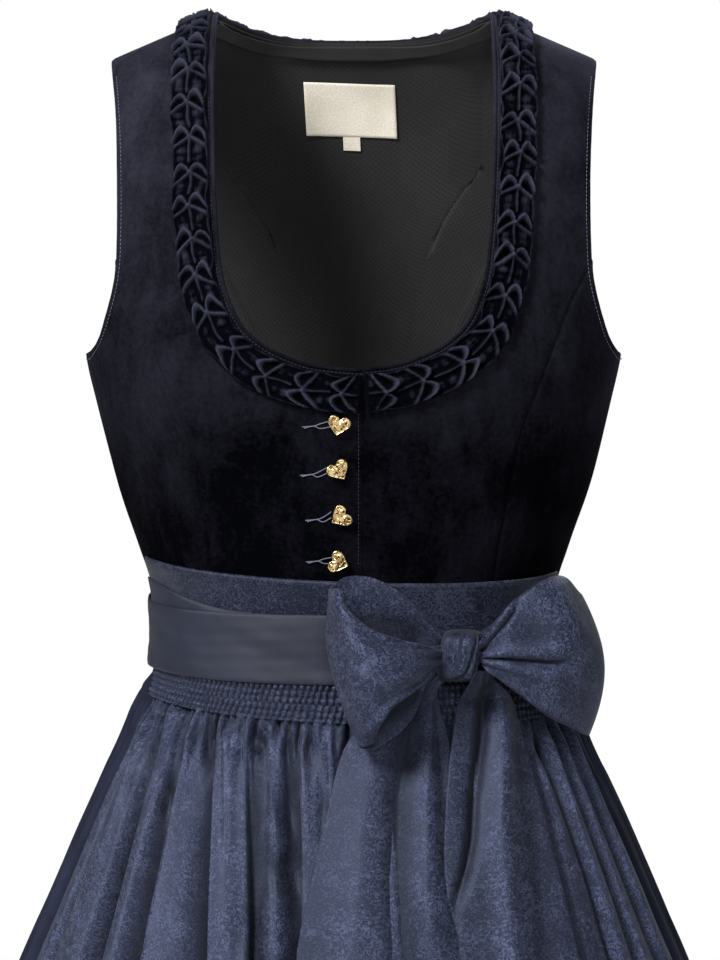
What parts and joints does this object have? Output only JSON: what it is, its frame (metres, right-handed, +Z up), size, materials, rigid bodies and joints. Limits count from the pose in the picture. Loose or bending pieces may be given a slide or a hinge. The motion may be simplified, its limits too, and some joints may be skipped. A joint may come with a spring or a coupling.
{
  "type": "dirndl",
  "caption": "Sleeveless dirndl: fitted velvet bodice with ruched neck trim and heart buttons, gathered skirt, smocked apron and a bow tied at the front.",
  "frame": {"origin": "midway between the neck points of the two shoulder seams, where the garment hangs on its wearer", "axes": "+Z up, the front faces -Y, +X is the wearer's left"},
  "size_m": [0.6965, 0.6121, 0.9624],
  "materials": {
    "velvet": "matt cotton velvet, midnight navy with a violet-grey nap",
    "trim_velvet": "ruched velvet strip, navy",
    "lining": "matt black dobby lining with small woven dots",
    "label": "cream woven tape",
    "button_metal": "hammered gold-coloured metal",
    "jacquard": "slate-navy damask with small tone-on-tone flowers, soft sheen",
    "skirt_cloth": "plain dark navy cotton",
    "tie_satin": "plain slate-blue satin side of the damask"
  },
  "bodies": {
    "root": {"front_centre_right": "velvet", "front_side_right": "velvet", "back_side_right": "velvet", "lining_side_right": "lining", "front_centre_left": "velvet", "front_side_left": "velvet", "back_side_left": "velvet", "lining_side_left": "lining", "front_underlap": "velvet", "back_centre": "velvet", "lining_back": "lining", "neck_facing": "lining", "neck_trim": "trim_velvet", "label": "label", "size_tag": "label", "button_1": "button_metal", "button_2": "button_metal", "button_3": "button_metal", "button_4": "button_metal", "apron_waistband": "jacquard", "apron_smocking": "jacquard", "apron_skirt": "jacquard", "skirt_front": "skirt_cloth", "skirt_back": "skirt_cloth", "tie_outer": "tie_satin", "tie_inner": "tie_satin", "tie_fold": "tie_satin", "bow_loop_right": "jacquard", "bow_loop_left": "jacquard", "bow_knot": "jacquard", "bow_tail_right": "jacquard", "bow_tail_left": "jacquard"}
  },
  "joints": []
}
